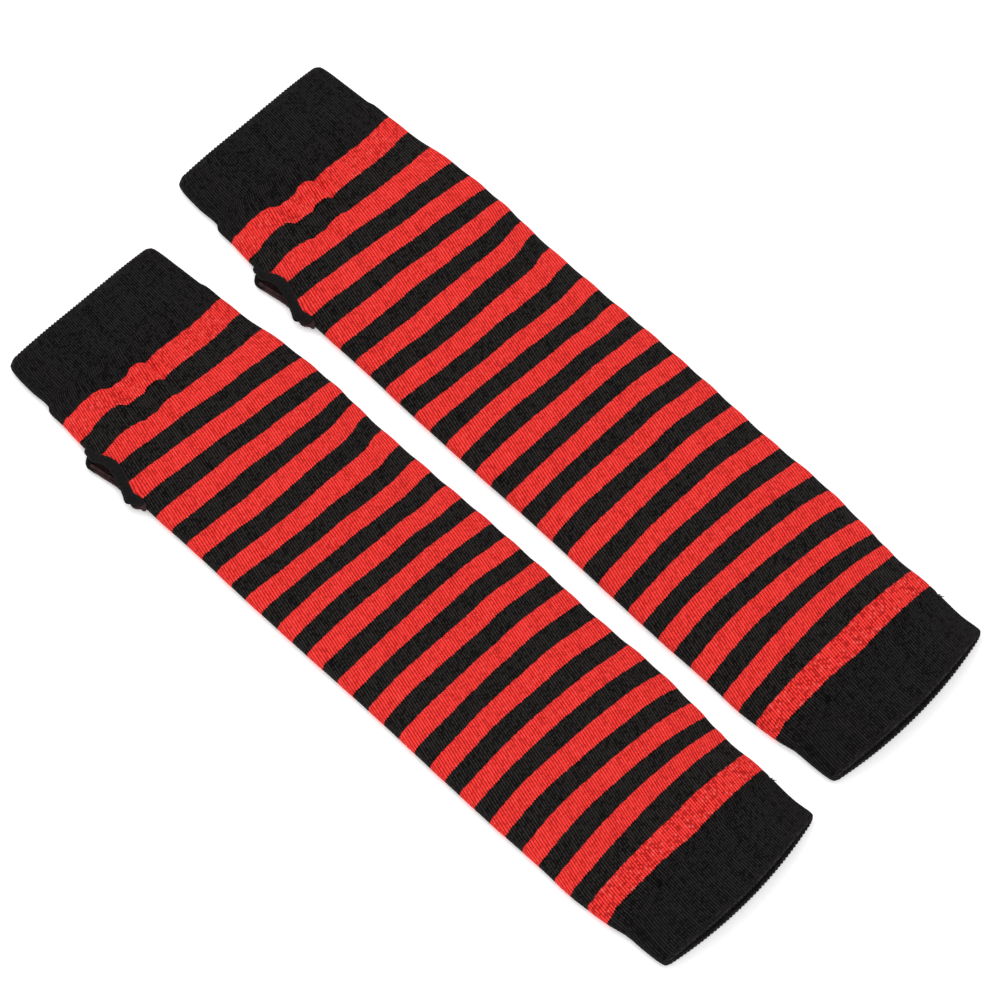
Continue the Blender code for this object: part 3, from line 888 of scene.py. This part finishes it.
def striped_knit(name, dark_red, light_red, upper_lip, lower_lip):
    """Red and black stripes in plain knit, the stitches in relief with painted shade in their grooves; looser
    at its first and last.
    """
    graph = Graph(name)
    wale, v = graph.knit_uv()
    course = graph.math("MULTIPLY", v, float(COURSES))
    height, slanted = stitch_height(graph, wale, course, TUBE_RELIEF)
    wale_number = graph.math("FLOOR", wale)
    cell = graph.random_cell(wale_number, graph.math("FLOOR", slanted))
    ragged = graph.math("MULTIPLY_ADD", graph.random_cell(wale_number, RAGGED_SEED), RAGGED_COURSES,
                        -RAGGED_COURSES / 2)
    whole_course = graph.math("FLOOR", graph.math("ADD", slanted, ragged))
    whole_course = graph.math("DIVIDE", whole_course, float(COURSES))
    even = graph.math("LESS_THAN", graph.math("FLOORED_MODULO", whole_course, 2.0), 1.0 - COURSE_TOLERANCE)
    inside = graph.math("MULTIPLY", graph.math("GREATER_THAN", whole_course, -COURSE_TOLERANCE),
                        graph.math("LESS_THAN", whole_course, STRIPES - COURSE_TOLERANCE))
    is_red = graph.math("MULTIPLY", even, inside)
    past_band = graph.math("GREATER_THAN", v, -LOOSE_OVERLAP)
    first = graph.math("MULTIPLY", graph.math("LESS_THAN", v, LOOSE_REACH),
                       graph.math("MULTIPLY", past_band, FIRST_STRIPE_LOOSENESS))
    last = graph.math("MULTIPLY", graph.math("GREATER_THAN", v, STRIPES - LOOSE_REACH),
                      graph.math("LESS_THAN", v, STRIPES + LOOSE_OVERLAP))
    loose = graph.math("MAXIMUM", first, last)
    depth = graph.math("MULTIPLY_ADD", loose, LOOSE_SHADE_DEPTH, TUBE_SHADE_DEPTH)
    shade = stitch_shade(graph, height, cell, wale_number, slanted, depth)
    # Dark holes: painted shade in the gaps of the loose knit
    hole = graph.math("MULTIPLY", loose, graph.math("LESS_THAN", cell, HOLE_SHARE))
    shade = graph.math("MULTIPLY", shade, graph.math("MULTIPLY_ADD", hole, -HOLE_DARKNESS, 1.0))
    # Pale specks: painted highlights on single stitches
    speck = graph.math("GREATER_THAN", cell, SPECK_FROM)
    paleness = graph.math("MULTIPLY_ADD", loose, LOOSE_SPECK_PALENESS, SPECK_PALENESS)
    red = graph.mix(shade, solid(dark_red), solid(light_red))
    red = graph.mix(graph.math("MULTIPLY", speck, paleness), red, solid(PALE_RED))
    bright_black = graph.mix(inside, solid(BAND_BLACK), solid(STRIPE_BLACK))
    black = graph.mix(graph.math("POWER", shade, BLACK_CONTRAST), solid(DARK_BLACK), bright_black)
    lips = overcast_colour(graph, wale, v, cell, upper_lip, lower_lip)
    colour = graph.mix(overcast_cover(graph, wale, v), graph.mix(is_red, black, red), lips)
    graph.feed(graph.shader.inputs["Base Color"], colour)
    graph.cloth_finish(STRIPED_FINISH, height)
    return graph.material


def black_rib(name, brightness):
    """Black double knit of the cuffs, finely ribbed along the warmer, with painted shade in the ribs'
    grooves.
    """
    graph = Graph(name)
    wale, v = graph.knit_uv()
    course = graph.math("MULTIPLY", v, float(COURSES))
    height, slanted = stitch_height(graph, wale, course, CUFF_RELIEF)
    wale_number = graph.math("FLOOR", wale)
    cell = graph.random_cell(wale_number, graph.math("FLOOR", slanted))
    shade = stitch_shade(graph, height, cell, wale_number, slanted, CUFF_SHADE_DEPTH)
    past_arm = graph.math("GREATER_THAN", v, ARM_MOUTH - TURNED_EDGE)
    at_mouth = graph.math("ADD", past_arm, graph.math("LESS_THAN", v, HAND_MOUTH + TURNED_EDGE))
    ribbed = graph.mix(graph.math("POWER", shade, BLACK_CONTRAST), solid(CUFF_DARK, brightness),
                       solid(CUFF_LIGHT, brightness))
    # Turned band at the mouths: unribbed and painted lighter, a painted highlight of the rolled edge
    turned = graph.mix(graph.math("POWER", cell, TURNED_CONTRAST), solid(TURNED_DARK, brightness),
                       solid(TURNED_LIGHT, brightness))
    graph.feed(graph.shader.inputs["Base Color"], graph.mix(at_mouth, ribbed, turned))
    graph.cloth_finish(CUFF_FINISH, height)
    return graph.material


def overcast_yarn(name, dark, light):
    """Overcast yarn, a little fuzzy."""
    graph = Graph(name)
    coords = graph.node("ShaderNodeTexCoord").outputs["Object"]
    fibres = graph.noise(coords, FIBRE_SCALE, FIBRE_DETAIL)
    graph.feed(graph.shader.inputs["Base Color"], graph.mix(fibres, solid(dark), solid(light)))
    graph.cloth_finish(YARN_FINISH, fibres)
    return graph.material


def table_top():
    """Plain white table that glows a little, painted light that fades the shadows round the pair."""
    graph = Graph("table_top")
    coords = graph.node("ShaderNodeTexCoord").outputs["Object"]
    grain = graph.noise(coords, TABLE_GRAIN_SCALE, TABLE_GRAIN_DETAIL)
    inputs = graph.shader.inputs
    graph.feed(inputs["Base Color"], graph.mix(grain, solid(TABLE_DARK), solid(TABLE_LIGHT)))
    inputs["Emission Color"].default_value = solid(WHITE)
    # Painted light: the table glows though it is no lamp
    inputs["Emission Strength"].default_value = TABLE_PAINTED_GLOW
    inputs["Roughness"].default_value = TABLE_ROUGHNESS
    inputs["Specular IOR Level"].default_value = TABLE_SPECULAR
    return graph.material


def add_camera():
    """Long-lensed camera that looks down at the pair from the photograph's side."""
    data = bpy.data.cameras.new("camera")
    data.lens = CAMERA_LENS
    data.sensor_width = CAMERA_SENSOR
    distance = CAMERA_LENS / CAMERA_SENSOR * IMAGE_PIXELS / PIXELS_PER_METRE
    data.clip_start = CAMERA_CLIP_START
    data.clip_end = distance * 2
    back = Vector((math.sin(CAMERA_AZIMUTH) * math.cos(CAMERA_ELEVATION),
                   -math.cos(CAMERA_AZIMUTH) * math.cos(CAMERA_ELEVATION), math.sin(CAMERA_ELEVATION)))
    camera = bpy.data.objects.new("camera", data)
    camera.location = CAMERA_AIM + back * distance
    camera.rotation_euler = (-back).to_track_quat("-Z", "Y").to_euler()
    bpy.context.scene.collection.objects.link(camera)
    bpy.context.scene.camera = camera


def add_area_light(light):
    """Square soft light that faces the pair."""
    data = bpy.data.lights.new(light.name, "AREA")
    data.shape = "SQUARE"
    data.size = light.size
    data.energy = light.energy
    lamp = bpy.data.objects.new(light.name, data)
    lamp.location = light.place
    lamp.rotation_euler = Vector(light.place).to_track_quat("Z", "Y").to_euler()
    bpy.context.scene.collection.objects.link(lamp)


def add_studio():
    """White table, even surroundings, a soft light from the hand ends and a weak one from the arm ends."""
    world = bpy.data.worlds.new("studio")
    world.use_nodes = True
    background = world.node_tree.nodes["Background"]
    background.inputs["Color"].default_value = solid(WHITE)
    background.inputs["Strength"].default_value = SURROUNDINGS_BRIGHTNESS
    bpy.context.scene.world = world
    for light in LIGHTS:
        add_area_light(light)
    corners = [(x * TABLE_REACH, y * TABLE_REACH, TABLE_TOP) for x, y in ((-1, -1), (1, -1), (1, 1), (-1, 1))]
    table = bpy.data.objects.new("table", plain_mesh("table", corners, [(0, 1, 2, 3)], (table_top(),)))
    bpy.context.scene.collection.objects.link(table)


def add_piece(name, mesh, place, node):
    """Put a shell at its warmer's place; it rides on the root and stands for its solid."""
    piece = bpy.data.objects.new(name, mesh)
    piece.location = place
    bpy.context.scene.collection.objects.link(piece)
    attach(piece, "root")
    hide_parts(node)
    return piece


def cuff_courses(mouth, seam):
    """Courses of a cuff, closer where its edge turns over at the mouth."""
    corner = math.copysign(CUFF_WALL / 2 / STRIPE_HEIGHT, seam - mouth)
    turned = [mouth + corner * (1 - math.cos(math.pi / 2 * i / MOUTH_ROWS)) for i in range(MOUTH_ROWS)]
    return sorted(turned + even_courses(mouth + corner, seam, CUFF_ROWS))


def tube_courses():
    """Courses of the striped tube, with the ends of the thumb hole among them."""
    close = int((HAND_END_COURSE - HAND_SEAM) * HAND_END_ROWS_PER_STRIPE)
    wide = int((ARM_SEAM - HAND_END_COURSE) * TUBE_ROWS_PER_STRIPE)
    courses = (even_courses(HAND_SEAM, HAND_END_COURSE, close)[:-1]
               + even_courses(HAND_END_COURSE, ARM_SEAM, wide))
    spare = ROW_CLEARANCE / HAND_END_ROWS_PER_STRIPE
    courses = [v for v in courses if min(abs(v - SLIT_START), abs(v - SLIT_END)) > spare]
    return sorted(courses + [SLIT_START, SLIT_END])


def add_warmers():
    """Build the shells once and lay a set of them at each warmer's place."""
    striped = striped_knit("striped_knit", DARK_RED, LIGHT_RED, UPPER_LIP, LOWER_LIP)
    # Inside of the tube: the stripes painted dark, painted shade of the tube's inside and cut rim
    inside = striped_knit("striped_knit_shaded_inside", DARK_SHADED_INSIDE, LIGHT_SHADED_INSIDE, UPPER_LIP, LOWER_LIP_INSIDE)
    rib = black_rib("black_rib", 1.0)
    # Lighter copy of the rib for the mouth rims: painted highlight
    highlit_mouth_rim = black_rib("black_rib_rim_highlight", MOUTH_RIM_HIGHLIGHT)
    black = overcast_yarn("black_yarn", *BLACK_YARN)
    brown = overcast_yarn("brown_shaded_yarn", *BROWN_SHADED_YARN)
    tube = tube_mesh("tube", tube_courses(), (striped, inside, inside))
    hand_cuff = cuff_mesh("hand_cuff", HAND_MOUTH, HAND_SEAM, (rib, highlit_mouth_rim))
    arm_cuff = cuff_mesh("arm_cuff", ARM_MOUTH, ARM_SEAM, (rib, highlit_mouth_rim))
    edging = edging_mesh("thumb_edging", black, brown)
    threads = thread_mesh("seam_thread_ends", black)
    for side, place in (("rear", REAR_PLACE), ("front", FRONT_PLACE)):
        piece = add_piece(f"{side}_striped_tube", tube, place, f"{side}_tube")
        piece = add_piece(f"{side}_ribbed_hand_cuff", hand_cuff, place,
                          f"{side}_hand_cuff")
        piece = add_piece(f"{side}_ribbed_arm_cuff", arm_cuff, place,
                          f"{side}_arm_cuff")
        add_piece(f"{side}_overcast_edging", edging, place, f"{side}_thumb_edging")
        add_piece(f"{side}_seam_thread_ends", threads, place, f"{side}_arm_cuff")


bpy.context.scene.view_settings.view_transform = "Standard"
add_camera()
add_studio()
add_warmers()
